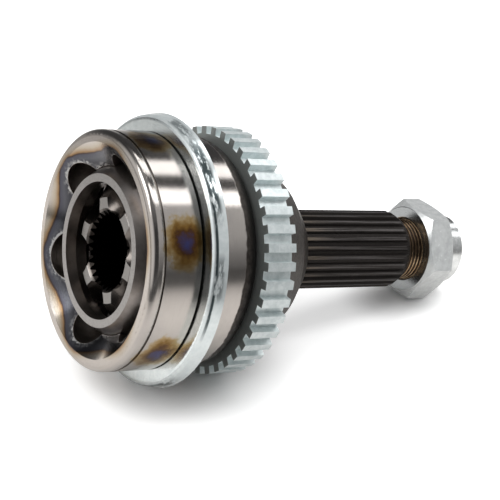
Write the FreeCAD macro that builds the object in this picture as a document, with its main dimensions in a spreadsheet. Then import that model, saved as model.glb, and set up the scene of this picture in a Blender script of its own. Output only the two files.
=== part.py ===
import FreeCAD, Part
import math
import os
import Sketcher

# Fixed constant velocity joint: a bell with a splined stub, an inner race, a cage,
# six balls, two pressed rings and an axle nut.
#
# Row frame: the origin is the joint centre, +X runs along the axis from the bell's
# mouth to the stub, and +Z points at a ball track and at a flat of the nut.
# Lengths are millimetres and angles are degrees.

OUTPUT_FOLDER = "parts"

DRIVING_SIZES = (
    # bell, from its mouth face to the stub
    ("mouth_depth", 19.0, "mouth face to joint centre"),
    ("bell_radius", 39.1, "boot seat and lip"),
    ("lip_length", 3.4, "lip in front of the clamp line"),
    ("lip_round", 2.2, "rounding of the lip's outer edge"),
    ("clamp_line_width", 1.1, "turned line behind the lip, deepest at its rear wall"),
    ("clamp_line_depth", 0.4, "turned line behind the lip"),
    ("boot_seat_end", 17.3, "mouth face to the relief before the dust ring"),
    ("relief_width", 0.6, "relief before the dust ring"),
    ("relief_depth", 0.6, "relief before the dust ring"),
    ("dust_seat_length", 6.6, "seat under the dust ring's sleeve"),
    ("dust_seat_step", 0.45, "how far the dust ring's seat lies under the boot seat"),
    ("waist_step", 0.8, "boot seat to the ground surface behind the dust ring"),
    ("waist_end", 34.5, "mouth face to the rounded shoulder"),
    ("shoulder_end", 39.5, "mouth face to the end of the rounded shoulder"),
    ("shoulder_fall", 2.7, "how much the rounded shoulder narrows"),
    ("shoulder_round", 6.5, "radius of the rounded shoulder"),
    ("tone_seat_step", 1.2, "end of the rounded shoulder to the tone ring's seat"),
    ("tone_seat_length", 12.0, "seat under the tone ring"),
    ("back_edge_place", 65.0, "mouth face to the edge of the forged back"),
    ("back_edge_radius", 26.4, "edge of the forged back"),
    ("stub_shoulder_place", 72.3, "mouth face to the bearing shoulder"),
    ("stub_shoulder_radius", 18.6, "bearing shoulder"),
    ("mouth_face_width", 1.9, "flat ring face of the mouth"),
    ("mouth_cone_depth", 6.6, "mouth cone, along the axis"),
    ("mouth_cone_fall", 8.45, "how much the mouth cone narrows"),
    ("cavity_flat", 2.4, "how far the cavity's flat bottom cuts off its sphere"),
    # ball path, shared by bell, inner race, cage and balls
    ("ball_radius", 7.94, "bearing ball"),
    ("ball_pitch_radius", 27.9, "axis to ball centre"),
    ("track_offset", 2.2, "joint centre to the centre of each track's arc"),
    ("track_clearance", 0.2, "ball to track wall"),
    ("ball_count", 6, "balls, tracks and windows"),
    ("track_run_inside", 43.0, "angle of a bell track behind its centre"),
    ("track_run_mouth", 75.0, "angle of a bell track towards the mouth"),
    # cage
    ("cage_outer_radius", 30.2, "outer sphere"),
    ("cage_wall", 4.3, "outer sphere to inner sphere"),
    ("cage_half_width", 17.1, "joint centre to the cage's end face"),
    ("cage_end_wall", 2.65, "width of the flat end rings"),
    ("cage_clearance", 0.22, "between the spheres"),
    ("window_side_play", 1.2, "ball to window, around the axis"),
    ("window_end_play", 0.25, "ball to window, along the axis"),
    # inner race
    ("race_half_width", 14.2, "joint centre to the inner race's end face"),
    ("race_face_radius", 17.2, "outer edge of the end faces"),
    ("race_land_half_width", 9.4, "spherical part of the lands"),
    ("bore_tip_radius", 11.9, "tooth tips of the bore"),
    ("bore_root_radius", 13.1, "tooth roots of the bore"),
    ("bore_chamfer", 0.6, "chamfer at the bore's ends, past the tooth roots"),
    ("bore_teeth", 30, "teeth in the bore"),
    ("clip_groove_place", 9.6, "joint centre to the retaining clip's groove"),
    ("clip_groove_width", 1.8, "retaining clip's groove"),
    ("clip_groove_radius", 14.1, "retaining clip's groove"),
    # stub
    ("stub_tip_radius", 13.9, "outside of the stub's teeth"),
    ("stub_root_radius", 12.8, "tooth roots of the stub"),
    ("stub_length", 50.0, "toothed part of the stub"),
    ("stub_taper_length", 2.8, "tapered end of the toothed part"),
    ("stub_taper_fall", 1.5, "tapered end of the toothed part"),
    ("tooth_flank_angle", 30.0, "slope of the flanks of the stub's and the bore's teeth"),
    ("stub_teeth", 26, "teeth of the stub"),
    ("neck_radius", 9.9, "run-out groove before the thread"),
    ("neck_length", 1.5, "run-out groove before the thread"),
    ("thread_radius", 10.6, "thread at its mean radius"),
    ("thread_length", 22.5, "threaded end"),
    ("thread_chamfer", 1.0, "tip of the threaded end"),
    ("stake_groove_width", 3.5, "groove that the nut's collar is staked into"),
    ("stake_groove_depth", 2.0, "groove that the nut's collar is staked into"),
    ("stake_groove_length", 12.0, "groove that the nut's collar is staked into"),
    ("centre_hole_radius", 2.4, "centre drilling in the stub's end"),
    ("centre_hole_depth", 4.0, "centre drilling in the stub's end"),
    # pressed rings
    ("press_clearance", 0.02, "ring bore to its seat"),
    ("dust_rim_reach", 6.1, "boot seat to the outside of the dust ring's rim"),
    ("dust_rim_length", 5.0, "dust ring, front face to rear edge of the rim"),
    ("dust_sheet", 1.6, "thickness of the dust ring's sheet"),
    ("dust_corner", 1.9, "front corner of the dust ring"),
    ("dust_taper", 0.6, "how much the rim opens towards its rear edge"),
    ("tone_ring_wall", 4.7, "tone ring's seat to its tooth roots"),
    ("tone_tooth_height", 2.5, "tone ring's tooth roots to the tips"),
    ("tone_line_width", 0.7, "open line between the shoulder and the tone ring"),
    ("tone_width", 10.6, "tone ring's teeth, along the axis"),
    ("tone_teeth", 43, "tone ring's teeth"),
    ("tone_gap_share", 0.54, "share of a tooth pitch that is gap"),
    ("tone_flank_angle", 6.0, "slope of the tone ring's tooth flanks"),
    # axle nut
    ("nut_gap", 6.5, "end of the stub's teeth to the nut"),
    ("nut_half_flats", 16.0, "axis to a flat"),
    ("nut_hex_height", 11.2, "hexagon, along the axis"),
    ("nut_face_radius", 15.2, "flat ring of the nut's faces"),
    ("nut_chamfer_angle", 30.0, "slope of the hexagon's corner chamfers"),
    ("collar_radius", 12.4, "thin collar that is staked into the groove"),
    ("collar_height", 7.6, "thin collar, along the axis"),
    ("collar_chamfer", 0.4, "collar's outer edge"),
    ("collar_recess", 0.5, "step behind the thread, inside the collar"),
    ("thread_clearance", 0.05, "nut bore to thread, at the mean radius"),
    ("nut_countersink", 1.1, "where the thread starts in the nut"),
)


# Sizes that carry both a number and the sheet's formula for it


class Size:
    """A number, with the formula over the sheet's cells that gives it."""

    def __init__(self, number, formula):
        self.number = float(number)
        self.formula = formula

    def __add__(self, other):
        other = as_size(other)
        return Size(self.number + other.number, "(%s + %s)" % (self.formula, other.formula))

    def __sub__(self, other):
        other = as_size(other)
        return Size(self.number - other.number, "(%s - %s)" % (self.formula, other.formula))

    def __mul__(self, other):
        other = as_size(other)
        return Size(self.number * other.number, "(%s * %s)" % (self.formula, other.formula))

    def __truediv__(self, other):
        other = as_size(other)
        return Size(self.number / other.number, "(%s / %s)" % (self.formula, other.formula))

    def __neg__(self):
        return Size(-self.number, "(0 - %s)" % self.formula)


def as_size(value):
    if isinstance(value, Size):
        return value
    return Size(value, repr(float(value)))


def root(value):
    return Size(math.sqrt(value.number), "sqrt(%s)" % value.formula)


def sine(angle):
    angle = as_size(angle)
    return Size(math.sin(math.radians(angle.number)), "sin(%s)" % angle.formula)


def cosine(angle):
    angle = as_size(angle)
    return Size(math.cos(math.radians(angle.number)), "cos(%s)" % angle.formula)


def tangent(angle):
    angle = as_size(angle)
    return Size(math.tan(math.radians(angle.number)), "tan(%s)" % angle.formula)


def on_circle(radius, along):
    """Distance from the axis of a point on a circle centred on the axis."""
    return root(radius * radius - along * along)


NOTHING = as_size(0.0)

doc = FreeCAD.newDocument("cv_joint")
sheet = doc.addObject("Spreadsheet::Sheet", "Sizes")
dim = {}
for row, (alias, value, note) in enumerate(DRIVING_SIZES, start=1):
    sheet.set("A%d" % row, alias)
    sheet.set("B%d" % row, str(value))
    sheet.set("C%d" % row, note)
    sheet.setAlias("B%d" % row, alias)
    dim[alias] = Size(value, "Sizes.%s" % alias)
doc.recompute()


# Helpers for bodies, sketches and features

LEFT = 1
RIGHT = -1


def new_body(name):
    body = doc.addObject("PartDesign::Body", name)
    body.Label = name
    return body


def origin_feature(body, role):
    for feature in body.Origin.OriginFeatures:
        if feature.Role == role:
            return feature
    raise ValueError("no origin feature " + role)


def new_sketch(body, name, plane, offset=None, tilt=None):
    """A sketch on an origin plane, moved along its normal and tilted about its x axis."""
    sketch = body.newObject("Sketcher::SketchObject", name)
    sketch.AttachmentSupport = [(origin_feature(body, plane), "")]
    sketch.MapMode = "FlatFace"
    if tilt is not None:
        turn = FreeCAD.Rotation(FreeCAD.Vector(1, 0, 0), tilt.number)
        sketch.AttachmentOffset = FreeCAD.Placement(FreeCAD.Vector(0, 0, 0), turn)
        sketch.setExpression("AttachmentOffset.Rotation.Angle", tilt.formula)
    if offset is not None:
        sketch.setExpression("AttachmentOffset.Base.z", offset.formula)
    return sketch


def hold_point(sketch, segment, end, place):
    """Ties a point's two coordinates to the sheet."""
    for kind, axis, size in (("DistanceX", -2, place[0]), ("DistanceY", -1, place[1])):
        if size.number == 0.0:
            sketch.addConstraint(Sketcher.Constraint("PointOnObject", segment, end, axis))
        elif size.number > 0.0:
            held = Sketcher.Constraint(kind, -1, 1, segment, end, size.number)
            index = sketch.addConstraint(held)
            sketch.setExpression("Constraints[%d]" % index, size.formula)
        else:
            held = Sketcher.Constraint(kind, segment, end, -1, 1, -size.number)
            index = sketch.addConstraint(held)
            sketch.setExpression("Constraints[%d]" % index, (-size).formula)


def arc_between(start, end, radius, side):
    chord = end - start
    across = FreeCAD.Vector(-chord.y, chord.x, 0).normalize()
    rise = math.sqrt(max(radius ** 2 - (chord.Length / 2) ** 2, 0.0))
    centre = (start + end) * 0.5 + across * rise * side
    middle = centre - across * radius * side
    if side == LEFT:
        return Part.Arc(start, middle, end)
    return Part.Arc(end, middle, start)


def draw_outline(sketch, corners):
    """A closed outline. A corner is (x, y), or (x, y, radius, side) where the way to
    the next corner is an arc with its centre on that side of the way."""
    points = [FreeCAD.Vector(corner[0].number, corner[1].number, 0) for corner in corners]
    ends = []
    for place, corner in enumerate(corners):
        start = points[place]
        end = points[(place + 1) % len(points)]
        if len(corner) == 2:
            sketch.addGeometry(Part.LineSegment(start, end))
            ends.append((1, 2))
        else:
            sketch.addGeometry(arc_between(start, end, corner[2].number, corner[3]))
            ends.append((1, 2) if corner[3] == LEFT else (2, 1))
    for place in range(len(corners)):
        after = (place + 1) % len(corners)
        joint = Sketcher.Constraint("Coincident", place, ends[place][1], after, ends[after][0])
        sketch.addConstraint(joint)
    for place, corner in enumerate(corners):
        hold_point(sketch, place, ends[place][0], corner)
        if len(corner) == 4:
            index = sketch.addConstraint(Sketcher.Constraint("Radius", place, corner[2].number))
            sketch.setExpression("Constraints[%d]" % index, corner[2].formula)
    return sketch


def draw_circle(sketch, centre, radius):
    middle = FreeCAD.Vector(centre[0].number, centre[1].number, 0)
    normal = FreeCAD.Vector(0, 0, 1)
    circle = sketch.addGeometry(Part.Circle(middle, normal, radius.number))
    hold_point(sketch, circle, 3, centre)
    index = sketch.addConstraint(Sketcher.Constraint("Radius", circle, radius.number))
    sketch.setExpression("Constraints[%d]" % index, radius.formula)
    return sketch


def bind(thing, name, size):
    setattr(thing, name, size.number)
    thing.setExpression(name, size.formula)


def turned(body, name, corners, kind="PartDesign::Revolution"):
    """An outline in the XZ plane, turned about the X axis."""
    sketch = draw_outline(new_sketch(body, name + "_sketch", "XZ_Plane"), corners)
    feature = body.newObject(kind, name)
    feature.Profile = sketch
    feature.ReferenceAxis = (sketch, ["H_Axis"])
    feature.Angle = 360.0
    body.Tip = feature
    doc.recompute()
    return feature


def removed(body, name, make):
    """Runs make, which adds a cut, and raises an error if the cut takes nothing away."""
    before = body.Shape.Volume
    feature = make()
    body.Tip = feature
    doc.recompute()
    if body.Shape.Volume > before - 1e-3:
        raise RuntimeError(name + " cuts nothing")
    return feature


def turned_cut(body, name, corners):
    return removed(body, name, lambda: turned(body, name, corners, "PartDesign::Groove"))


def pocket(body, name, sketch, length, backwards=False):
    def make():
        feature = body.newObject("PartDesign::Pocket", name)
        feature.Profile = sketch
        feature.Type = "Length"
        bind(feature, "Length", length)
        feature.Reversed = backwards
        return feature
    return removed(body, name, make)


def pad(body, name, sketch, length):
    feature = body.newObject("PartDesign::Pad", name)
    feature.Profile = sketch
    feature.Type = "Length"
    bind(feature, "Length", length)
    body.Tip = feature
    doc.recompute()
    return feature


def around(body, name, feature, count):
    """Repeats a feature around the X axis."""
    pattern = body.newObject("PartDesign::PolarPattern", name)
    pattern.Originals = [feature]
    pattern.Axis = (origin_feature(body, "X_Axis"), [""])
    pattern.Angle = 360.0
    pattern.Occurrences = int(count.number)
    pattern.setExpression("Occurrences", count.formula)
    body.Tip = pattern
    doc.recompute()
    return pattern


def ball_tracks(body, name, centre, run_back, run_front):
    """Grooves that the balls roll in: each is a circle swung about the track's centre."""
    path_radius = root(dim["ball_pitch_radius"] * dim["ball_pitch_radius"]
                       + dim["track_offset"] * dim["track_offset"])
    groove_radius = dim["ball_radius"] + dim["track_clearance"]
    sketch = new_sketch(body, name + "_sketch", "YZ_Plane", offset=centre, tilt=run_front)
    draw_circle(sketch, (NOTHING, path_radius), groove_radius)

    def make():
        feature = body.newObject("PartDesign::Groove", name)
        feature.Profile = sketch
        feature.ReferenceAxis = (sketch, ["H_Axis"])
        feature.Reversed = True
        bind(feature, "Angle", run_back + run_front)
        return feature

    feature = removed(body, name, make)
    return around(body, name + "_all", feature, dim["ball_count"])


def tooth_gap(inner, outer, pitch_radius, teeth, flank, share=0.5):
    """Corners of the gap between two teeth, wider at its outer end by the flank angle."""
    half = pitch_radius * sine(as_size(180.0) * share / teeth)
    slope = tangent(flank)
    inside = half - (pitch_radius - inner) * slope
    outside = half + (outer - pitch_radius) * slope
    return ((-inside, inner), (-outside, outer), (outside, outer), (inside, inner))


# Radii of the bell and its rings, from the boot seat inwards

dust_seat_radius = dim["bell_radius"] - dim["dust_seat_step"]
waist_radius = dim["bell_radius"] - dim["waist_step"]
shoulder_radius = waist_radius - dim["shoulder_fall"]
tone_seat_radius = shoulder_radius - dim["tone_seat_step"]
tone_root_radius = tone_seat_radius + dim["tone_ring_wall"]
tone_tip_radius = tone_root_radius + dim["tone_tooth_height"]

# Places along the axis, from the bell's mouth face

relief_end = dim["boot_seat_end"] + dim["relief_width"]
dust_seat_end = relief_end + dim["dust_seat_length"]
tone_face = dim["shoulder_end"] + dim["tone_line_width"]
tone_seat_end = dim["shoulder_end"] + dim["tone_seat_length"]
stub_end = dim["stub_shoulder_place"] + dim["stub_length"]
thread_start = stub_end + dim["neck_length"]
tip_place = thread_start + dim["thread_length"]
nut_face = stub_end + dim["nut_gap"]
nut_length = dim["nut_hex_height"] + dim["collar_height"]
cage_gap = dim["cage_clearance"]

# The cage's spheres, which the bell's cavity and the inner race follow

cage_inner_radius = dim["cage_outer_radius"] - dim["cage_wall"]
cage_end_radius = on_circle(dim["cage_outer_radius"], dim["cage_half_width"])
cage_bore_radius = cage_end_radius - dim["cage_end_wall"]


def outer_race():
    """Bell and stub, one forging."""
    body = new_body("outer_race")
    bell = dim["bell_radius"]
    line_bottom = bell - dim["clamp_line_depth"]
    line_end = dim["lip_length"] + dim["clamp_line_width"]
    relief_bottom = bell - dim["relief_depth"]
    seat_edge = tone_seat_radius - dim["thread_chamfer"]
    turned(body, "forging", (
        (NOTHING, NOTHING),
        (NOTHING, bell - dim["lip_round"], dim["lip_round"], RIGHT),
        (dim["lip_round"], bell),
        (dim["lip_length"], bell),
        (line_end, line_bottom),
        (line_end, bell),
        (dim["boot_seat_end"], bell),
        (dim["boot_seat_end"], relief_bottom),
        (relief_end, relief_bottom),
        (relief_end, dust_seat_radius),
        (dust_seat_end, dust_seat_radius),
        (dust_seat_end, waist_radius),
        (dim["waist_end"], waist_radius, dim["shoulder_round"], RIGHT),
        (dim["shoulder_end"], shoulder_radius),
        (dim["shoulder_end"], tone_seat_radius),
        (tone_seat_end, tone_seat_radius),
        (tone_seat_end + dim["thread_chamfer"], seat_edge),
        (dim["back_edge_place"], dim["back_edge_radius"]),
        (dim["stub_shoulder_place"], dim["stub_shoulder_radius"]),
        (dim["stub_shoulder_place"], dim["stub_tip_radius"]),
        (stub_end - dim["stub_taper_length"], dim["stub_tip_radius"]),
        (stub_end, dim["stub_tip_radius"] - dim["stub_taper_fall"]),
        (stub_end, dim["neck_radius"]),
        (thread_start, dim["neck_radius"]),
        (thread_start, dim["thread_radius"]),
        (tip_place - dim["thread_chamfer"], dim["thread_radius"]),
        (tip_place, dim["thread_radius"] - dim["thread_chamfer"]),
        (tip_place, dim["centre_hole_radius"]),
        (tip_place - dim["centre_hole_depth"], NOTHING),
    ))
    cavity = dim["cage_outer_radius"] + cage_gap
    cavity_depth = cavity - dim["cavity_flat"]
    bottom = dim["mouth_depth"] + cavity_depth
    turned_cut(body, "cavity", (
        (NOTHING, NOTHING),
        (NOTHING, on_circle(cavity, dim["mouth_depth"]), cavity, RIGHT),
        (bottom, on_circle(cavity, cavity_depth)),
        (bottom, NOTHING),
    ))
    cone_start = bell - dim["lip_round"] - dim["mouth_face_width"]
    cone_end = cone_start - dim["mouth_cone_fall"]
    turned_cut(body, "mouth_cone", (
        (NOTHING, NOTHING),
        (NOTHING, cone_start),
        (dim["mouth_cone_depth"], cone_end),
        (dim["mouth_cone_depth"], NOTHING),
    ))
    ball_tracks(body, "bell_track", dim["mouth_depth"] - dim["track_offset"],
                dim["track_run_inside"], dim["track_run_mouth"])

    pitch = (dim["stub_root_radius"] + dim["stub_tip_radius"]) / 2
    gap_top = dim["stub_tip_radius"] + dim["track_clearance"]
    gap = new_sketch(body, "stub_gap_sketch", "YZ_Plane", offset=stub_end)
    draw_outline(gap, tooth_gap(dim["stub_root_radius"], gap_top, pitch, dim["stub_teeth"],
                                dim["tooth_flank_angle"]))
    feature = pocket(body, "stub_gap", gap, dim["stub_length"])
    around(body, "stub_gap_all", feature, dim["stub_teeth"])

    half_width = dim["stake_groove_width"] / 2
    groove_bottom = dim["thread_radius"] - dim["stake_groove_depth"]
    groove_top = dim["thread_radius"] + dim["stake_groove_depth"]
    groove = new_sketch(body, "stake_groove_sketch", "YZ_Plane", offset=tip_place)
    draw_outline(groove, (
        (-half_width, groove_bottom),
        (-half_width, groove_top),
        (half_width, groove_top),
        (half_width, groove_bottom),
    ))
    pocket(body, "stake_groove", groove, dim["stake_groove_length"])
    return body


def inner_race():
    """Star with ball tracks outside and teeth in its bore; its middle is the joint centre."""
    body = new_body("inner_race")
    half = dim["race_half_width"]
    land = dim["race_land_half_width"]
    sphere = cage_inner_radius - cage_gap
    edge = on_circle(sphere, land)
    chamfer_radius = dim["bore_root_radius"] + dim["bore_chamfer"]
    chamfer_length = chamfer_radius - dim["bore_tip_radius"]
    groove_start = dim["clip_groove_place"] - dim["clip_groove_width"] / 2
    groove_end = groove_start + dim["clip_groove_width"]
    turned(body, "star", (
        (-half, chamfer_radius),
        (-half, dim["race_face_radius"]),
        (-land, edge, sphere, RIGHT),
        (land, edge),
        (half, dim["race_face_radius"]),
        (half, chamfer_radius),
        (half - chamfer_length, dim["bore_tip_radius"]),
        (groove_end, dim["bore_tip_radius"]),
        (groove_end, dim["clip_groove_radius"]),
        (groove_start, dim["clip_groove_radius"]),
        (groove_start, dim["bore_tip_radius"]),
        (chamfer_length - half, dim["bore_tip_radius"]),
    ))
    ball_tracks(body, "star_track", dim["track_offset"],
                dim["track_run_mouth"], dim["track_run_mouth"])
    pitch = (dim["bore_tip_radius"] + dim["bore_root_radius"]) / 2
    inside = dim["bore_tip_radius"] - dim["track_clearance"]
    gap = new_sketch(body, "bore_gap_sketch", "YZ_Plane", offset=half)
    draw_outline(gap, tooth_gap(inside, dim["bore_root_radius"], pitch, dim["bore_teeth"],
                                -dim["tooth_flank_angle"]))
    feature = pocket(body, "bore_gap", gap, half * 2)
    around(body, "bore_gap_all", feature, dim["bore_teeth"])
    return body


def cage():
    """Ring between two spheres, with a window for each ball."""
    body = new_body("cage")
    half = dim["cage_half_width"]
    outer = dim["cage_outer_radius"]
    inner = cage_inner_radius
    bore = cage_bore_radius
    reach = on_circle(inner, bore)
    turned(body, "ring", (
        (-half, bore),
        (-half, cage_end_radius, outer, RIGHT),
        (half, cage_end_radius),
        (half, bore),
        (reach, bore, inner, LEFT),
        (-reach, bore),
    ))
    along = dim["ball_radius"] + dim["window_end_play"]
    across = dim["ball_radius"] + dim["window_side_play"]
    corner = dim["ball_radius"] / 2.5
    window = new_sketch(body, "window_sketch", "XY_Plane")
    draw_outline(window, (
        (-along, corner - across, corner, LEFT),
        (corner - along, -across),
        (along - corner, -across, corner, LEFT),
        (along, corner - across),
        (along, across - corner, corner, LEFT),
        (along - corner, across),
        (corner - along, across, corner, LEFT),
        (-along, across - corner),
    ))
    feature = pocket(body, "window", window, outer + across, backwards=True)
    around(body, "window_all", feature, dim["ball_count"])
    return body


def ball(number):
    """One bearing ball, in its track."""
    name = "ball_%d" % number
    solid = doc.addObject("Part::Sphere", name)
    solid.Label = name
    bind(solid, "Radius", dim["ball_radius"])
    angle = as_size(360.0) * (number - 1) / dim["ball_count"]
    solid.setExpression("Placement.Base.y", (dim["ball_pitch_radius"] * sine(angle)).formula)
    solid.setExpression("Placement.Base.z", (dim["ball_pitch_radius"] * cosine(angle)).formula)
    return solid


def dust_ring():
    """Channel of pressed sheet, open towards the stub, on its seat behind the relief."""
    body = new_body("dust_ring")
    bore = dust_seat_radius + dim["press_clearance"]
    sheet_wall = dim["dust_sheet"]
    rim = dim["bell_radius"] + dim["dust_rim_reach"]
    front_rim = rim - dim["dust_taper"]
    corner = dim["dust_corner"]
    front = relief_end
    web_end = front + sheet_wall
    rear = front + dim["dust_rim_length"]
    turned(body, "channel", (
        (front, bore),
        (front, front_rim - corner, corner, RIGHT),
        (front + corner, front_rim),
        (rear, rim),
        (rear, rim - sheet_wall),
        (web_end, front_rim - sheet_wall),
        (web_end, bore + sheet_wall),
        (dust_seat_end, bore + sheet_wall),
        (dust_seat_end, bore),
    ))
    return body


def tone_ring():
    """Toothed ring that a speed sensor reads, pressed on its seat behind the bell's shoulder."""
    body = new_body("tone_ring")
    bore = tone_seat_radius + dim["press_clearance"]
    rear = tone_face + dim["tone_width"]
    turned(body, "blank", (
        (tone_face, bore),
        (tone_face, tone_tip_radius),
        (rear, tone_tip_radius),
        (rear, bore),
    ))
    above = tone_tip_radius + dim["tone_line_width"]
    gap = new_sketch(body, "tone_gap_sketch", "YZ_Plane", offset=rear)
    draw_outline(gap, tooth_gap(tone_root_radius, above, tone_tip_radius, dim["tone_teeth"],
                                dim["tone_flank_angle"], dim["tone_gap_share"]))
    feature = pocket(body, "tone_gap", gap, dim["tone_width"])
    around(body, "tone_gap_all", feature, dim["tone_teeth"])
    return body


def axle_nut():
    """Hexagon with a thin collar; its bore stands for the thread at the mean radius."""
    body = new_body("axle_nut")
    flats = dim["nut_half_flats"]
    side = flats * tangent(30.0)
    corner = flats / cosine(30.0)
    hexagon = new_sketch(body, "hexagon_sketch", "YZ_Plane", offset=nut_face)
    draw_outline(hexagon, (
        (side, flats),
        (-side, flats),
        (-corner, NOTHING),
        (-side, -flats),
        (side, -flats),
        (corner, NOTHING),
    ))
    pad(body, "hexagon", hexagon, dim["nut_hex_height"])
    hex_end = nut_face + dim["nut_hex_height"]
    collar = new_sketch(body, "collar_sketch", "YZ_Plane", offset=hex_end)
    draw_circle(collar, (NOTHING, NOTHING), dim["collar_radius"])
    pad(body, "collar", collar, dim["collar_height"])

    beyond = corner + dim["collar_chamfer"]
    rise = (beyond - dim["nut_face_radius"]) * tangent(dim["nut_chamfer_angle"])
    turned_cut(body, "near_chamfer", (
        (nut_face, dim["nut_face_radius"]),
        (nut_face, beyond),
        (nut_face + rise, beyond),
    ))
    turned_cut(body, "far_chamfer", (
        (hex_end, dim["nut_face_radius"]),
        (hex_end, beyond),
        (hex_end - rise, beyond),
    ))
    nut_end = nut_face + nut_length
    collar_edge = dim["collar_radius"] - dim["collar_chamfer"]
    collar_beyond = dim["collar_radius"] + dim["collar_chamfer"]
    turned_cut(body, "collar_edge", (
        (nut_end, collar_edge),
        (nut_end, collar_beyond),
        (nut_end - dim["collar_chamfer"] * 2, collar_beyond),
    ))
    bore = dim["thread_radius"] + dim["thread_clearance"]
    recess = bore + dim["collar_recess"]
    sink = dim["nut_countersink"]
    turned_cut(body, "bore", (
        (nut_face, NOTHING),
        (nut_face, bore + sink),
        (nut_face + sink, bore),
        (hex_end, bore),
        (hex_end + dim["collar_recess"], recess),
        (nut_end, recess),
        (nut_end, NOTHING),
    ))
    return body


def place_from_mouth(body):
    """Moves a body that was drawn from the mouth face, so the origin is the joint centre."""
    body.setExpression("Placement.Base.x", (-dim["mouth_depth"]).formula)
    return body


parts = [
    place_from_mouth(outer_race()),
    place_from_mouth(dust_ring()),
    place_from_mouth(tone_ring()),
    place_from_mouth(axle_nut()),
    cage(),
    inner_race(),
]
for number in range(1, int(dim["ball_count"].number) + 1):
    parts.append(ball(number))
doc.recompute()


# Every object and every sub-part is sound before anything is written

for thing in doc.Objects:
    if "Invalid" in thing.State or "Error" in thing.State:
        raise RuntimeError(thing.Name + " failed to build")
for part in parts:
    if part.Shape.isNull() or not part.Shape.isValid():
        raise RuntimeError(part.Label + " has no valid shape")
    if len(part.Shape.Solids) != 1:
        raise RuntimeError(part.Label + " is not one solid")

os.makedirs(OUTPUT_FOLDER, exist_ok=True)
for part in parts:
    part.Shape.exportStep("%s/%s.step" % (OUTPUT_FOLDER, part.Label))
    box = part.Shape.BoundBox
    print("%-11s volume %9.1f  x %7.2f to %7.2f  z %7.2f to %7.2f" % (
        part.Label, part.Shape.Volume, box.XMin, box.XMax, box.ZMin, box.ZMax))
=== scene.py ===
import math
import bpy
from mathutils import Matrix, Vector


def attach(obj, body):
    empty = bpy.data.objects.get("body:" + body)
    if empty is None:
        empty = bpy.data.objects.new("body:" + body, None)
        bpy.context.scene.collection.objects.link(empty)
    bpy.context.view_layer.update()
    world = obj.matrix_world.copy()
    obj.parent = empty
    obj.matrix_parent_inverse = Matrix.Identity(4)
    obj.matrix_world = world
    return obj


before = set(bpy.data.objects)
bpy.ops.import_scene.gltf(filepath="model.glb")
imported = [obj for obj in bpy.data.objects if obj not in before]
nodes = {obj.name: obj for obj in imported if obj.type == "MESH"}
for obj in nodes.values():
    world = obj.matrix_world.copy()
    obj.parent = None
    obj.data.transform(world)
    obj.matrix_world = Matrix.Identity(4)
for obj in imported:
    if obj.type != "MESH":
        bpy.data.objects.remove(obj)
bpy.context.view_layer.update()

# Lengths are in metres. The axis is X, from the bell's mouth to the stub, with the joint centre at 0.

# Places along the axis, on the bell
MOUTH = -0.0190
LIP_LINE_START = -0.01485       # the turned line behind the lip
LIP_LINE_END = -0.014475
MOUTH_CONE_END = -0.0123
TINT_MIDDLE = -0.0076
TRACK_CENTRE = -0.0022          # where the arcs of the ball tracks are centred
DUST_LINE_START = -0.0017       # the dust ring's front face
DUST_LINE_END = -0.0011
GROUND_END = 0.0150             # the forged skin starts here
TONE_SHADE_FULL = 0.0192
TONE_FACE = 0.0212
CAVITY_END = 0.0295
BEARING_SHOULDER = 0.0515
STUB_START = 0.0533
STUB_END = 0.1033
THREAD_START = 0.1048
NUT_FACE = 0.1098

# Radii on the bell
MOUTH_CONE_RADIUS = 0.0383
OUTSIDE_RADIUS = 0.03785        # the outside is past this
LINES_FROM_RADIUS = 0.03375     # the painted shade lines lie outside this
CAVITY_RADIUS = 0.03042
TRACK_PATH_RADIUS = 0.027987    # arc of a ball's centre
TRACK_RADIUS = 0.00814          # half the width of a ball track
STUB_TIP_RADIUS = 0.0139

# Heat marks: the line round the mouth follows the tracks in six lobes, and a spot lies over each track
MOUTH_LINE_RADIUS = 0.0334
MOUTH_LINE_SWING = 0.0016
MOUTH_BAND_WIDTH = 0.00625
TINT_HALF_LENGTH = 0.0084
TINT_HALF_ANGLE = 0.245
TRACKS = 6

# End faces of the cage and the inner race, at this distance on both sides of the joint centre
CAGE_END = 0.01703
RACE_END = 0.0141
RACE_BORE_END = 0.0138
RACE_BORE_RADIUS = 0.0133

# The thread's ridge
THREAD_PITCH = 0.0015
THREAD_TURNS = 14
THREAD_STEPS = 72               # faces round one turn
THREAD_CORE = 0.01052
THREAD_CREST = 0.0110
RIDGE_HALF_WIDTH = THREAD_PITCH * 0.44

# Relief of the surfaces
RING_SCALE = 9000.0
RING_TURN = 0.0008              # how much the angle counts beside the place, so rings change slowly
RING_BUMP = 0.0001
GRAIN_BUMP = 0.0002
FROM_THE_FRONT = -0.05          # a place before every piece

# The floor, sloped as the joint lies in the photo, on the dust ring and the nut
FLOOR_SLOPE = math.radians(14.0)
FLOOR_POINT = Vector((0.0039, 0.0, -0.0452))
FLOOR_UP = Vector((-math.sin(FLOOR_SLOPE), 0.0, math.cos(FLOOR_SLOPE)))
FLOOR_SIZE = 6.0
# Painted shadow on the floor: darkest round these places, fading out between SHADE_NEAR and SHADE_FAR
RINGS_ON_FLOOR = (0.022, -0.012)
NUT_ON_FLOOR = (0.112, -0.004)
NUT_SHADE_SHARE = 1.8           # the nut's painted shadow spot is smaller than the rings' by this
SHADE_NEAR = 0.006
SHADE_FAR = 0.045

# Lamps
PANEL_HEIGHT = 0.70
PANEL_MIDDLE = 0.42             # along the axis
PANEL_LENGTH = 0.95
WINDOW_PLACE = (-0.55, 0.10, 0.45)
WINDOW_SIZE = 0.35

# The photo's view
EYE_PLACE = Vector((-0.246299, -0.381670, 0.192074))
EYE_RIGHT = Vector((0.828827, -0.502959, 0.245109))
EYE_UP = Vector((0.006109, 0.446189, 0.894918))
LENS = 108.0
SENSOR = 36.0

WHITE = (1.0, 1.0, 1.0)


# Shader helpers

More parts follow.
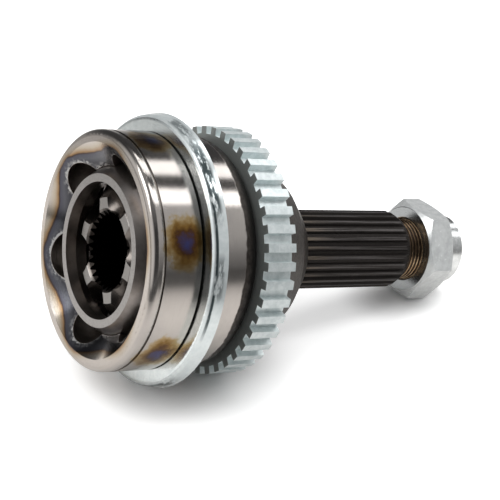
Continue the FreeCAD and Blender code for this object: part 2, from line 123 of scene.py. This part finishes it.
class Nodes:
    """Short names for the nodes of one material, group or world."""

    def __init__(self, tree):
        self.tree = tree

    def add(self, kind, **settings):
        node = self.tree.nodes.new(kind)
        for name, value in settings.items():
            setattr(node, name, value)
        return node

    def put(self, socket, value):
        if isinstance(value, bpy.types.NodeSocket):
            self.tree.links.new(value, socket)
        else:
            socket.default_value = value

    def calc(self, operation, *values, clamp=False):
        node = self.add("ShaderNodeMath", operation=operation, use_clamp=clamp)
        for socket, value in zip(node.inputs, values):
            self.put(socket, value)
        return node.outputs[0]

    def plus(self, first, *others):
        for value in others:
            first = self.calc("ADD", first, value)
        return first

    def minus(self, first, second):
        return self.calc("SUBTRACT", first, second)

    def times(self, first, *others):
        for value in others:
            first = self.calc("MULTIPLY", first, value)
        return first

    def scaled(self, value, factor, start):
        """value x factor + start."""
        return self.calc("MULTIPLY_ADD", value, factor, start)

    def largest(self, first, second):
        return self.calc("MAXIMUM", first, second)

    def length(self, first, second):
        """Distance over two sides that stand square to each other."""
        return self.calc("SQRT", self.plus(self.times(first, first), self.times(second, second)))

    def ramp(self, value, *stops):
        node = self.add("ShaderNodeValToRGB")
        elements = node.color_ramp.elements
        while len(elements) < len(stops):
            elements.new(0.5)
        for element, (place, color) in zip(elements, stops):
            element.position = place
            element.color = (*color, 1.0)
        self.put(node.inputs["Fac"], value)
        return node.outputs["Color"]

    def step(self, value, low, high):
        """0 below low, 1 above high, smooth between. With high below low it falls instead."""
        node = self.add("ShaderNodeMapRange", interpolation_type="SMOOTHSTEP")
        falls = high < low
        self.put(node.inputs["Value"], value)
        self.put(node.inputs["From Min"], high if falls else low)
        self.put(node.inputs["From Max"], low if falls else high)
        self.put(node.inputs["To Min"], 1.0 if falls else 0.0)
        self.put(node.inputs["To Max"], 0.0 if falls else 1.0)
        return node.outputs["Result"]

    def past(self, value, place, soft=0.0001):
        """1 past a place, 0 before it."""
        return self.step(value, place - soft, place + soft)

    def before(self, value, place, soft=0.0001):
        """1 before a place, 0 past it."""
        return self.step(value, place + soft, place - soft)

    def mix(self, factor, first, second):
        node = self.add("ShaderNodeMix", data_type="RGBA")
        self.put(node.inputs["Factor"], factor)
        for socket, value in ((node.inputs[6], first), (node.inputs[7], second)):
            self.put(socket, (*value, 1.0) if isinstance(value, tuple) else value)
        return node.outputs[2]

    def place(self, scale=(1.0, 1.0, 1.0)):
        """Object coordinates, stretched."""
        coordinates = self.add("ShaderNodeTexCoord")
        mapping = self.add("ShaderNodeMapping")
        self.put(mapping.inputs["Vector"], coordinates.outputs["Object"])
        mapping.inputs["Scale"].default_value = scale
        return mapping.outputs["Vector"]

    def split(self):
        node = self.add("ShaderNodeSeparateXYZ")
        self.put(node.inputs[0], self.add("ShaderNodeTexCoord").outputs["Object"])
        return node.outputs

    def around(self):
        """Place along the axis, radius from it, and the angle round it, from +Z towards +Y."""
        x, y, z = self.split()
        return x, self.length(y, z), self.calc("ARCTAN2", y, z)

    def noise(self, vector, scale, detail=4.0, roughness=0.5):
        node = self.add("ShaderNodeTexNoise")
        self.put(node.inputs["Vector"], vector)
        self.put(node.inputs["Scale"], scale)
        self.put(node.inputs["Detail"], detail)
        self.put(node.inputs["Roughness"], roughness)
        return node.outputs["Fac"]

    def uneven(self, amount, scale, detail=4.0, roughness=0.5):
        """Noise round zero, as much as the amount from end to end."""
        return self.times(self.minus(self.noise(self.place(), scale, detail, roughness), 0.5), amount)

    def patches(self, scale, low, high, dark, light, detail=5.0, roughness=0.6):
        """Two colours in soft patches."""
        mottle = self.noise(self.place(), scale, detail, roughness)
        return self.mix(self.step(mottle, low, high), dark, light)


def relief_group(name, inputs, pattern, height):
    """A group that gives one pattern as a mask and as a normal."""
    group = bpy.data.node_groups.new(name, "ShaderNodeTree")
    for label, value in inputs.items():
        socket = group.interface.new_socket(label, in_out="INPUT", socket_type="NodeSocketFloat")
        socket.default_value = value
    group.interface.new_socket("Mask", in_out="OUTPUT", socket_type="NodeSocketFloat")
    group.interface.new_socket("Normal", in_out="OUTPUT", socket_type="NodeSocketVector")
    n = Nodes(group)
    given = n.add("NodeGroupInput").outputs
    result = n.add("NodeGroupOutput").inputs
    mask = pattern(n, given)
    bump = n.add("ShaderNodeBump")
    n.put(bump.inputs["Height"], mask)
    n.put(bump.inputs["Strength"], given["Depth"])
    n.put(bump.inputs["Distance"], height)
    n.put(result["Mask"], mask)
    n.put(result["Normal"], bump.outputs["Normal"])
    return group


def turned_rings(n, given):
    """Fine rings left by turning or grinding about the axis. They change slowly on their way round."""
    x, radius, angle = n.around()
    ring = n.add("ShaderNodeCombineXYZ")
    for socket, value in zip(ring.inputs, (x, radius, n.times(angle, RING_TURN))):
        n.put(socket, value)
    return n.noise(ring.outputs[0], RING_SCALE, 3.0, 0.7)


def grain_spots(n, given):
    """Forged, cast or plated grain."""
    return n.noise(n.place(), given["Scale"], 6.0, 0.6)


TURNING_MARKS = relief_group("turning_marks", {"Depth": 0.1}, turned_rings, RING_BUMP)
SURFACE_GRAIN = relief_group("surface_grain", {"Scale": 900.0, "Depth": 0.3}, grain_spots, GRAIN_BUMP)


def use_group(n, group, **values):
    node = n.add("ShaderNodeGroup", node_tree=group)
    for name, value in values.items():
        node.inputs[name.capitalize()].default_value = value
    return node.outputs["Mask"], node.outputs["Normal"]


def new_metal(name):
    material = bpy.data.materials.new(name)
    material.use_nodes = True
    shader = material.node_tree.nodes["Principled BSDF"]
    shader.inputs["Metallic"].default_value = 1.0
    return material, Nodes(material.node_tree), shader


def finish_metal(n, shader, color, roughness, normal):
    n.put(shader.inputs["Base Color"], color)
    n.put(shader.inputs["Roughness"], roughness)
    n.put(shader.inputs["Normal"], normal)


# The bell

def from_track_middle(n, angle):
    """Angle from the middle of the nearest ball track."""
    share = math.pi * 2 / TRACKS
    turned = n.plus(angle, math.pi * 2 + share / 2)
    return n.minus(n.calc("MODULO", turned, share), share / 2)


def heat_tint(n, x, radius, folded):
    """Mask and colour of the heat tint over each track, on the outside."""
    off_x = n.calc("DIVIDE", n.minus(x, TINT_MIDDLE), TINT_HALF_LENGTH)
    off_angle = n.calc("DIVIDE", folded, TINT_HALF_ANGLE)
    reach = n.plus(n.length(off_x, off_angle), n.uneven(0.9, 260.0, 5.0, 0.65))
    tint = n.ramp(reach,
                  (0.0, (0.060, 0.062, 0.17)),
                  (0.22, (0.070, 0.052, 0.10)),
                  (0.38, (0.090, 0.042, 0.016)),
                  (0.60, (0.24, 0.135, 0.038)),
                  (0.82, (0.42, 0.31, 0.16)),
                  (1.0, (0.50, 0.46, 0.41)))
    return n.times(n.step(reach, 1.15, 0.75), n.past(radius, OUTSIDE_RADIUS, 0.00035)), tint


def past_walls(n, x, radius, folded):
    """Distance out of the tracks and the cavity. It is 0 on their walls."""
    out = n.times(radius, n.calc("COSINE", folded))
    side = n.times(radius, n.calc("SINE", folded))
    off_path = n.minus(n.length(n.minus(x, TRACK_CENTRE), out), TRACK_PATH_RADIUS)
    past_track = n.minus(n.length(off_path, side), TRACK_RADIUS)
    past_cavity = n.minus(n.length(x, radius), CAVITY_RADIUS)
    return n.calc("MINIMUM", past_track, past_cavity)


def mouth_cone(n, radius, angle, edge):
    """Colour of the mouth's cone: dark inside a lobed heat line, tan outside it, with a painted highlight
    along the edges of the tracks and the cavity. Also the mask of that painted highlight."""
    lobes = n.scaled(n.calc("COSINE", n.times(angle, float(TRACKS))), MOUTH_LINE_SWING, MOUTH_LINE_RADIUS)
    past_line = n.plus(n.minus(radius, lobes), n.uneven(0.0012, 140.0, 3.0))
    cone = n.ramp(n.scaled(past_line, 1.0 / MOUTH_BAND_WIDTH, 0.5),
                  (0.0, (0.055, 0.055, 0.062)),
                  (0.25, (0.10, 0.102, 0.115)),
                  (0.44, (0.085, 0.085, 0.105)),
                  (0.505, (0.060, 0.042, 0.036)),
                  (0.57, (0.30, 0.19, 0.10)),
                  (0.75, (0.46, 0.40, 0.32)),
                  (1.0, (0.54, 0.50, 0.465)))
    # painted highlight within 0.8 mm of an edge, more or less, and a paler painted highlight in spots up to
    # 2.4 mm from it
    ragged_edge = n.plus(edge, n.uneven(0.0060, 330.0, 4.0, 0.65))
    spots = n.step(n.noise(n.place(), 650.0, 4.0, 0.6), 0.46, 0.62)
    spot_highlight = n.times(n.step(edge, 0.0024, 0.0006), spots)
    lightened = n.largest(n.step(ragged_edge, 0.0008, 0.0), n.times(spot_highlight, 0.40))
    return n.mix(n.times(lightened, 0.85), cone, (0.54, 0.535, 0.525)), lightened


def painted_gap_shade(n, x, radius):
    """Painted shade: black lines in the groove behind the lip and in the gap in front of the dust ring, and
    darkening in front of the tone ring.
    """
    lip_groove_shade = n.times(n.past(x, LIP_LINE_START, 0.00015), n.before(x, LIP_LINE_END, 0.000025))
    dust_gap_shade = n.times(n.past(x, DUST_LINE_START, 0.00005), n.before(x, DUST_LINE_END, 0.00005))
    tone_shade = n.times(n.step(x, GROUND_END, TONE_SHADE_FULL), n.step(x, TONE_FACE + 0.0003, TONE_FACE))
    gap_shade = n.scaled(lip_groove_shade, 0.55, n.plus(dust_gap_shade, tone_shade))
    return n.calc("MULTIPLY", gap_shade, n.past(radius, LINES_FROM_RADIUS, 0.00025), clamp=True)


def stub_teeth(n, x, radius):
    """Dark phosphated teeth, worn on the tips and rusty near the bell."""
    tips = n.step(radius, STUB_TIP_RADIUS - 0.00025, STUB_TIP_RADIUS)
    streak = n.noise(n.place((30.0, 1300.0, 1300.0)), 1.0, 4.0, 0.6)
    rusty = n.step(n.scaled(streak, 0.020, x), 0.0820, 0.0680)
    worn_tip = n.mix(rusty, (0.095, 0.088, 0.086), (0.165, 0.135, 0.105))
    return n.mix(n.times(tips, n.step(streak, 0.40, 0.62)), (0.024, 0.020, 0.018), worn_tip)


def ground_bell_material():
    """Ground bell with heat tints, painted highlights along the mouth's edges, painted shade in the hollow
    and in the gaps, dark forged back that is partly painted shade, dark toothed stub and oiled thread.
    """
    material, n, shader = new_metal("ground_bell")
    x, radius, angle = n.around()
    marks, ring_normal = use_group(n, TURNING_MARKS, depth=0.10)
    grain, grain_normal = use_group(n, SURFACE_GRAIN, scale=900.0, depth=0.55)
    broad = n.noise(n.place(), 60.0, 5.0, 0.6)
    folded = from_track_middle(n, angle)
    edge = past_walls(n, x, radius, folded)

    # ground outside with its heat tint
    color = n.mix(marks, (0.44, 0.405, 0.375), (0.60, 0.565, 0.535))
    color = n.mix(n.step(broad, 0.35, 0.75), color, (0.45, 0.42, 0.40))
    tinted, tint = heat_tint(n, x, radius, folded)
    color = n.mix(tinted, color, tint)

    # cone and flat face of the mouth, with a painted highlight along the edges of the tracks and the cavity
    cone, lightened = mouth_cone(n, radius, angle, edge)
    front = n.times(n.before(x, MOUTH_CONE_END, 0.0003), n.before(radius, MOUTH_CONE_RADIUS, 0.0003))
    color = n.mix(front, color, cone)
    speckle = n.step(n.noise(n.place(), 2600.0, 3.0, 0.7), 0.45, 0.75)
    flat = n.times(n.before(x, MOUTH + 0.000125, 0.000075), speckle, 0.45)
    color = n.mix(flat, color, (0.30, 0.26, 0.23))

    # inside: hardened tracks and cavity, darkened with painted shade
    shaded_hollow = n.times(n.before(edge, 0.00012, 0.00004), n.before(x, CAVITY_END, 0.0005))
    color = n.mix(shaded_hollow, color, n.mix(n.step(broad, 0.3, 0.7), (0.13, 0.108, 0.094), (0.26, 0.228, 0.205)))

    # forged back with scale, from the ragged end of the ground part; its dark colour is partly painted shade
    # and painted dark reflection on the shoulder before the tone ring
    forged_and_shade = n.mix(n.step(grain, 0.35, 0.65), (0.029, 0.024, 0.021), (0.064, 0.055, 0.048))
    forged_and_shade = n.mix(n.step(x, BEARING_SHOULDER - 0.0025, BEARING_SHOULDER), forged_and_shade, (0.030, 0.026, 0.023))
    back = n.past(n.plus(x, n.uneven(0.0016, 330.0)), GROUND_END, 0.0003)
    color = n.mix(back, color, forged_and_shade)
    # painted shade in the lip's groove, in the gap before the dust ring and before the tone ring
    color = n.mix(painted_gap_shade(n, x, radius), color, (0.010, 0.009, 0.008))

    # toothed stub, and the oiled thread behind it
    on_stub = n.past(x, STUB_START)
    past_stub = n.past(x, STUB_END)
    color = n.mix(on_stub, color, stub_teeth(n, x, radius))
    golden = n.mix(n.step(grain, 0.3, 0.7), (0.030, 0.020, 0.014), (0.085, 0.055, 0.032))
    color = n.mix(past_stub, color, golden)

    dull = n.times(n.largest(back, shaded_hollow), n.scaled(grain, 0.25, 0.13))
    teeth = n.times(on_stub, n.minus(1.0, past_stub))
    rough = n.plus(n.scaled(marks, 0.08, 0.10), dull, n.times(tinted, 0.06), n.times(teeth, 0.12))
    # where the mouth has its painted highlight, it is also less metallic
    highlit_front = n.times(lightened, front, n.past(edge, 0.00014, 0.00004))
    n.put(shader.inputs["Metallic"], n.scaled(highlit_front, -0.45, n.scaled(back, -0.35, 1.0)))
    normal = n.add("ShaderNodeMix", data_type="VECTOR")
    n.put(normal.inputs["Factor"], back)
    n.put(normal.inputs[4], ring_normal)
    n.put(normal.inputs[5], grain_normal)
    finish_metal(n, shader, color, rough, normal.outputs[1])
    return material


def thread_material():
    """Thread crests, worn to a golden brown."""
    material, n, shader = new_metal("thread_crests")
    grain, normal = use_group(n, SURFACE_GRAIN, scale=900.0, depth=0.3)
    _, radius, _ = n.around()
    lightened = n.mix(n.step(grain, 0.3, 0.7), (0.34, 0.21, 0.11), (0.60, 0.44, 0.28))
    crest = n.step(radius, THREAD_CORE + 0.0002, THREAD_CREST - 0.00005)
    color = n.mix(crest, (0.035, 0.022, 0.015), lightened)
    finish_metal(n, shader, color, n.scaled(grain, 0.15, 0.18), normal)
    return material


# Cage, inner race and balls

def hardened_steel(name, patch_scale, dark, light, roughness, depth, ends=None):
    """Hardened steel with fine rings and faint patches. Roughness is the least and how much the rings
    add. Ends colours the end faces."""
    material, n, shader = new_metal(name)
    marks, normal = use_group(n, TURNING_MARKS, depth=depth)
    color = n.patches(patch_scale, 0.3, 0.7, dark, light)
    if ends is not None:
        color = ends(n, color)
    least, added = roughness
    finish_metal(n, shader, color, n.scaled(marks, added, least), normal)
    return material


def cage_ends(n, color):
    """Light, finely ground end rings."""
    x, _, _ = n.around()
    rings = n.patches(2200.0, 0.40, 0.70, (0.36, 0.35, 0.34), (0.27, 0.255, 0.245), 3.0, 0.7)
    return n.mix(n.past(n.calc("ABSOLUTE", x), CAGE_END, 0.00003), color, rings)


def race_ends(n, color):
    """Light ground end faces, and black painted shade inside the toothed bore."""
    x, radius, _ = n.around()
    depth = n.calc("ABSOLUTE", x)
    face = n.times(n.past(depth, RACE_END, 0.00005), n.past(radius, RACE_BORE_RADIUS))
    # painted shade: black inside the toothed bore
    bore_shade = n.times(n.before(radius, RACE_BORE_RADIUS), n.step(depth, RACE_BORE_END, RACE_BORE_END - 0.0005))
    return n.mix(bore_shade, n.mix(face, color, (0.25, 0.24, 0.23)), (0.020, 0.017, 0.015))


# The zinc plated pieces

def rim_streaks(n, x, angle):
    """Dark streaks of thin plate on the dust ring's rim, in spells round it."""

    def spells(count, turn, low, high):
        return n.step(n.calc("COSINE", n.scaled(angle, count, turn)), low, high)

    mottle = n.noise(n.place((900.0, 240.0, 240.0)), 1.0, 5.0, 0.65)
    wide = n.times(n.step(x, -0.0008, 0.0), n.step(x, 0.0034, 0.0020))
    broad_spells = n.largest(spells(3.0, 1.68, 0.25, 0.85), n.times(spells(5.0, 6.54, 0.55, 0.95), 0.7))
    patches = n.times(wide, broad_spells, n.step(mottle, 0.38, 0.50))
    line = n.times(n.step(x, -0.0004, 0.0), n.step(x, 0.0009, 0.0005))
    edge = n.times(line, spells(2.0, 2.27, 0.15, 0.60), n.step(mottle, 0.30, 0.50))
    return n.largest(patches, edge)


def zinc_material(name, dark, light, roughness, depth, satin, face=None, streaked=False):
    """Zinc plate: cool, with soft cloudy patches and a fine grain. Satin is the radius and the place
    along the axis past which the plate is dull, and how metallic it is there. Face is the place
    before which the plate is darkened with painted shade, and its colour there."""
    material, n, shader = new_metal(name)
    x, radius, angle = n.around()
    satin_radius, satin_x, metallic = satin
    dull = n.times(n.step(radius, satin_radius, satin_radius + 0.0002), n.step(x, satin_x, satin_x + 0.0001))
    n.put(shader.inputs["Metallic"], n.scaled(dull, metallic - 1.0, 1.0))
    grain, normal = use_group(n, SURFACE_GRAIN, scale=1500.0, depth=depth)
    color = n.patches(420.0, 0.3, 0.7, dark, light, 4.0, 0.65)
    if face is not None:
        face_x, face_shade = face
        # painted shade on the front face
        color = n.mix(n.step(x, face_x, face_x - 0.00005), color, face_shade)
    if streaked:
        color = n.mix(rim_streaks(n, x, angle), color, (0.060, 0.080, 0.085))
    finish_metal(n, shader, color, n.scaled(grain, 0.20, roughness), normal)
    return material


finishes = {
    "outer_race": ground_bell_material(),
    "dust_ring": zinc_material(
        "zinc_sheet", (0.80, 0.87, 0.88), (0.92, 0.98, 0.985), roughness=0.10, depth=0.12,
        satin=(0.0434, FROM_THE_FRONT, 0.55), streaked=True),
    # the tone ring's front face gets painted shade, given by face
    "tone_ring": zinc_material(
        "zinc_ring", (0.64, 0.71, 0.715), (0.82, 0.88, 0.885), roughness=0.24, depth=0.22,
        satin=(0.0, FROM_THE_FRONT, 0.45), face=(TONE_FACE + 0.00005, (0.27, 0.285, 0.275))),
    # the nut's front face gets painted shade, given by face
    "axle_nut": zinc_material(
        "zinc_nut", (0.68, 0.70, 0.70), (0.85, 0.87, 0.87), roughness=0.14, depth=0.08,
        satin=(0.0148, NUT_FACE + 0.0001, 0.50), face=(NUT_FACE + 0.00005, (0.42, 0.44, 0.45))),
    "cage": hardened_steel(
        "cage_steel", 90.0, (0.21, 0.185, 0.170), (0.36, 0.33, 0.31), roughness=(0.26, 0.12), depth=0.08,
        ends=cage_ends),
    "inner_race": hardened_steel(
        "race_steel", 120.0, (0.085, 0.075, 0.068), (0.20, 0.18, 0.165), roughness=(0.20, 0.10), depth=0.08,
        ends=race_ends),
}
ball_finish = hardened_steel(
    "ball_steel", 80.0, (0.66, 0.65, 0.64), (0.76, 0.76, 0.76), roughness=(0.03, 0.12), depth=0.0)
for name, node in nodes.items():
    node.data.materials.clear()
    node.data.materials.append(finishes.get(name, ball_finish))


# The thread: a ridge wound round the stub's end

def deselect():
    if bpy.context.object is not None and bpy.context.object.mode != "OBJECT":
        bpy.ops.object.mode_set(mode="OBJECT")
    bpy.ops.object.select_all(action="DESELECT")


def open_vertices(piece):
    """Vertices on an open edge."""
    uses = {}
    for face in piece.data.polygons:
        for key in face.edge_keys:
            uses[key] = uses.get(key, 0) + 1
    return {index for key, count in uses.items() if count == 1 for index in key}


def axle_thread():
    deselect()
    bpy.ops.mesh.primitive_circle_add(vertices=4, radius=RIDGE_HALF_WIDTH, rotation=(math.pi / 2, 0.0, 0.0))
    ridge = bpy.context.object
    ridge.name = "axle_thread"
    bpy.ops.object.transform_apply(location=False, rotation=True, scale=False)
    bpy.ops.object.mode_set(mode="EDIT")
    bpy.ops.mesh.select_all(action="SELECT")
    bpy.ops.transform.resize(value=(1.0, 1.0, (THREAD_CREST - THREAD_CORE) / RIDGE_HALF_WIDTH))
    bpy.ops.transform.translate(value=(THREAD_START + THREAD_PITCH / 2, 0.0, THREAD_CORE))
    bpy.ops.object.mode_set(mode="OBJECT")
    winding = ridge.modifiers.new("winding", "SCREW")
    winding.axis = "X"
    winding.angle = math.pi * 2
    winding.screw_offset = THREAD_PITCH
    winding.iterations = THREAD_TURNS
    winding.steps = THREAD_STEPS
    winding.render_steps = THREAD_STEPS
    winding.use_merge_vertices = False
    bpy.ops.object.modifier_apply(modifier="winding")
    # each open end is drawn to a point, so the ridge runs out
    middle = THREAD_START + THREAD_PITCH * THREAD_TURNS / 2
    for low_end in (True, False):
        ends = open_vertices(ridge)
        for vertex in ridge.data.vertices:
            vertex.select = vertex.index in ends and (vertex.co.x < middle) == low_end
        bpy.ops.object.mode_set(mode="EDIT")
        bpy.ops.mesh.merge(type="CENTER")
        bpy.ops.object.mode_set(mode="OBJECT")
    bpy.ops.object.mode_set(mode="EDIT")
    bpy.ops.mesh.select_all(action="SELECT")
    bpy.ops.mesh.normals_make_consistent(inside=False)
    bpy.ops.object.mode_set(mode="OBJECT")
    bpy.ops.object.shade_smooth_by_angle(angle=math.radians(40.0))
    ridge.data.materials.append(thread_material())
    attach(ridge, "outer_race")


# Room, floor, lamps and camera

def towards(n, coordinates, direction):
    """How far a ray points in a direction, from -1 to 1."""
    dot = n.add("ShaderNodeVectorMath", operation="DOT_PRODUCT")
    n.put(dot.inputs[0], coordinates)
    dot.inputs[1].default_value = direction
    return dot.outputs["Value"]


def studio_world():
    world = bpy.data.worlds.new("studio")
    bpy.context.scene.world = world
    world.use_nodes = True
    n = Nodes(world.node_tree)
    world.node_tree.nodes.clear()
    out = n.add("ShaderNodeOutputWorld")
    path = n.add("ShaderNodeLightPath").outputs
    coordinates = n.add("ShaderNodeTexCoord").outputs["Generated"]
    direction = n.add("ShaderNodeSeparateXYZ")
    n.put(direction.inputs[0], coordinates)

    # what mirrors see: a dim room, pale below the floor's level and lighter right overhead
    upwards = towards(n, coordinates, FLOOR_UP)
    height = n.scaled(upwards, 0.5, 0.5)
    room = n.ramp(height,
                  (0.0, (0.5, 0.5, 0.5)),
                  (0.45, (0.22, 0.22, 0.225)),
                  (0.60, (0.07, 0.07, 0.072)),
                  (0.86, (0.05, 0.05, 0.052)),
                  (1.0, (0.30, 0.30, 0.305)))
    # a pale wall to the left of the mouth
    leftwards = towards(n, coordinates, (-0.97, 0.20, 0.0))
    room = n.mix(n.step(leftwards, 0.55, 0.92), room, (0.80, 0.80, 0.80))
    # a lit wall on the stub's side of the camera
    near_wall = n.ramp(height,
                       (0.45, (0.16, 0.16, 0.16)),
                       (0.53, (0.22, 0.22, 0.22)),
                       (0.60, (0.34, 0.34, 0.34)),
                       (0.68, (0.52, 0.52, 0.52)),
                       (0.80, (0.62, 0.62, 0.62)))
    to_wall = n.times(n.step(direction.outputs[1], -0.15, -0.38), n.step(direction.outputs[0], 0.05, 0.35))
    room = n.mix(to_wall, room, near_wall)

    # diffuse light comes mostly from overhead, so the floor is dark right under the object
    overhead = n.largest(upwards, 0.0)
    soft = n.scaled(n.times(overhead, overhead), 1.45, 0.13)
    light = n.mix(path["Is Glossy Ray"], soft, room)
    seen = n.largest(path["Is Camera Ray"], path["Is Transmission Ray"])
    background = n.add("ShaderNodeBackground")
    n.put(background.inputs["Color"], n.mix(seen, light, WHITE))
    n.put(out.inputs["Surface"], background.outputs[0])


def distance_on_floor(n, x, y, middle):
    return n.length(n.minus(x, middle[0]), n.minus(y, middle[1]))


def floor_material():
    """White to the camera, with the object's shadow, deepened by painted shadow where the rings and the nut
    rest on it. Other rays see it duller, so it doesn't light the object's underside. It is clear from below,
    where its slope would hide the object."""
    material = bpy.data.materials.new("white_floor")
    material.use_nodes = True
    n = Nodes(material.node_tree)
    shader = material.node_tree.nodes["Principled BSDF"]
    shader.inputs["Roughness"].default_value = 0.9
    shader.inputs["Specular IOR Level"].default_value = 0.0
    shader.inputs["Emission Color"].default_value = (*WHITE, 1.0)
    path = n.add("ShaderNodeLightPath").outputs
    x, y, _ = n.split()
    seen = n.largest(path["Is Camera Ray"], path["Is Transmission Ray"])

    # mirrored, it is a white table that falls away into the room on the camera's side
    away = distance_on_floor(n, x, y, (0.0, 0.0))
    table = n.times(n.step(y, -0.28, -0.07), n.scaled(n.step(away, 0.46, 0.20), 0.68, 0.32))
    mirrored = n.mix(table, (0.10, 0.10, 0.10), (0.78, 0.76, 0.74))
    unseen = n.mix(path["Is Glossy Ray"], (0.50, 0.50, 0.50), mirrored)
    n.put(shader.inputs["Base Color"], n.mix(seen, unseen, WHITE))

    # painted shadow: to the camera it is dark where the rings and the nut rest on it, and lifted towards
    # white past that
    under_rings = distance_on_floor(n, x, y, RINGS_ON_FLOOR)
    under_nut = n.times(distance_on_floor(n, x, y, NUT_ON_FLOOR), NUT_SHADE_SHARE)
    past_contact = n.step(n.calc("MINIMUM", under_rings, under_nut), SHADE_NEAR, SHADE_FAR)
    painted_shadow_lift = n.plus(n.times(past_contact, 0.42), n.times(n.step(away, 0.15, 0.60), 0.20))
    table_glow = n.times(path["Is Glossy Ray"], n.scaled(table, 0.9, 0.1), 0.10)
    n.put(shader.inputs["Emission Strength"], n.plus(n.times(seen, painted_shadow_lift), table_glow))

    from_below = n.add("ShaderNodeNewGeometry").outputs["Backfacing"]
    n.put(shader.inputs["Alpha"], n.minus(1.0, from_below))
    return material


def floor():
    deselect()
    bpy.ops.mesh.primitive_plane_add(size=FLOOR_SIZE)
    ground = bpy.context.object
    ground.name = "floor"
    turn = FLOOR_UP.to_track_quat("Z", "Y").to_matrix().to_4x4()
    ground.data.transform(Matrix.Translation(FLOOR_POINT) @ turn)
    ground.data.materials.append(floor_material())


def softbox(name, place, width, height, power, target=None):
    """A lamp that faces a target, or else straight down."""
    deselect()
    bpy.ops.object.light_add(type="AREA", location=place)
    lamp = bpy.context.object
    lamp.name = name
    lamp.data.shape = "RECTANGLE"
    lamp.data.size = width
    lamp.data.size_y = height
    lamp.data.energy = power
    if target is not None:
        way = Vector(target) - Vector(place)
        lamp.rotation_euler = way.to_track_quat("-Z", "Y").to_euler()


def ceiling_panel(name, low_y, high_y, power):
    """A long level panel over the joint, between two places across the axis."""
    place = (PANEL_MIDDLE, (low_y + high_y) / 2, PANEL_HEIGHT)
    softbox(name, place, PANEL_LENGTH, high_y - low_y, power)


def camera():
    deselect()
    bpy.ops.object.camera_add()
    eye = bpy.context.object
    eye.name = "photo_view"
    turn = Matrix((EYE_RIGHT, EYE_UP, EYE_RIGHT.cross(EYE_UP))).transposed().to_4x4()
    eye.matrix_world = Matrix.Translation(EYE_PLACE) @ turn
    eye.data.sensor_width = SENSOR
    eye.data.lens = LENS
    eye.data.clip_start = 0.01
    eye.data.dof.use_dof = False
    bpy.context.scene.camera = eye


axle_thread()
studio_world()
floor()
ceiling_panel("near_panel", -0.26, -0.06, 1.55)
ceiling_panel("far_panel", 0.13, 0.38, 1.65)
softbox("left_window", WINDOW_PLACE, WINDOW_SIZE, WINDOW_SIZE, 1.4, target=(0.0, 0.0, 0.0))
camera()
bpy.context.scene.view_settings.view_transform = "Standard"
